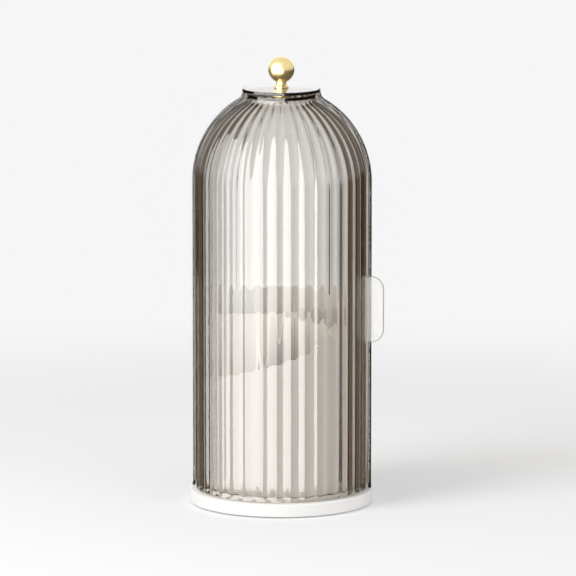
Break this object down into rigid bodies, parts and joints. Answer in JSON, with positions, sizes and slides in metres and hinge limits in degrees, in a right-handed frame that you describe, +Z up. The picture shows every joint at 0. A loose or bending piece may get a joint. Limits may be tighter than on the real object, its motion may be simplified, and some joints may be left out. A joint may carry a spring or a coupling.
{
  "type": "rotating brush organizer",
  "caption": "Domed fluted brush tower: a smoke half shell slides round behind the fixed one, and the white cup inside turns on a ball bearing.",
  "frame": {"origin": "centre of the underside of the anti-slip pad, on the tower's axis", "axes": "+Z up along the tower's axis, front with the door towards -Y, +X to the right where the handle is when the door is shut"},
  "size_m": [0.1379, 0.13, 0.3193],
  "materials": {
    "white_plastic": "satin white moulded plastic",
    "smoke_plastic": "clear smoke-grey moulded plastic, glossy",
    "milky_plastic": "milky translucent plastic",
    "gold_plating": "polished gold plating",
    "plain_steel": "bright steel",
    "cage_plastic": "natural plastic",
    "foam_pad": "dark anti-slip foam rubber"
  },
  "bodies": {
    "base": {"anti_slip_pad": "foam_pad", "base_cover": "white_plastic", "base_screw_1": "plain_steel", "base_screw_2": "plain_steel", "base_screw_3": "plain_steel", "base_screw_4": "plain_steel", "base_body": "white_plastic", "spindle": "plain_steel", "spindle_washer": "plain_steel", "spindle_screw": "plain_steel", "lower_race": "plain_steel", "rear_shell": "smoke_plastic", "top_disc": "smoke_plastic", "pivot_bush": "gold_plating", "pivot_washer": "gold_plating", "knob_screw": "gold_plating", "lid_knob": "gold_plating"},
    "turntable": {"upper_race": "plain_steel", "turntable_disc": "white_plastic", "inner_cup": "white_plastic", "cup_divider": "white_plastic"},
    "ball_cage": {"bearing_cage": "cage_plastic", "bearing_ball_01": "plain_steel", "bearing_ball_02": "plain_steel", "bearing_ball_03": "plain_steel", "bearing_ball_04": "plain_steel", "bearing_ball_05": "plain_steel", "bearing_ball_06": "plain_steel", "bearing_ball_07": "plain_steel", "bearing_ball_08": "plain_steel", "bearing_ball_09": "plain_steel", "bearing_ball_10": "plain_steel", "bearing_ball_11": "plain_steel", "bearing_ball_12": "plain_steel"},
    "door": {"front_door": "smoke_plastic", "door_handle": "milky_plastic"}
  },
  "joints": [
    {"name": "door_turn", "type": "hinge", "parent": "base", "child": "door", "pos_m": [0, 0, 0], "axis": [0, 0, -1], "range_deg": [0, 174]},
    {"name": "cup_spin", "type": "hinge", "parent": "base", "child": "turntable", "pos_m": [0, 0, 0], "axis": [0, 0, 1], "continuous": true},
    {"name": "cage_spin", "type": "hinge", "parent": "base", "child": "ball_cage", "pos_m": [0, 0, 0], "axis": [0, 0, 1], "continuous": true}
  ],
  "couplings": [
    {"joint": "cage_spin", "follows": "cup_spin", "ratio": 0.5}
  ]
}
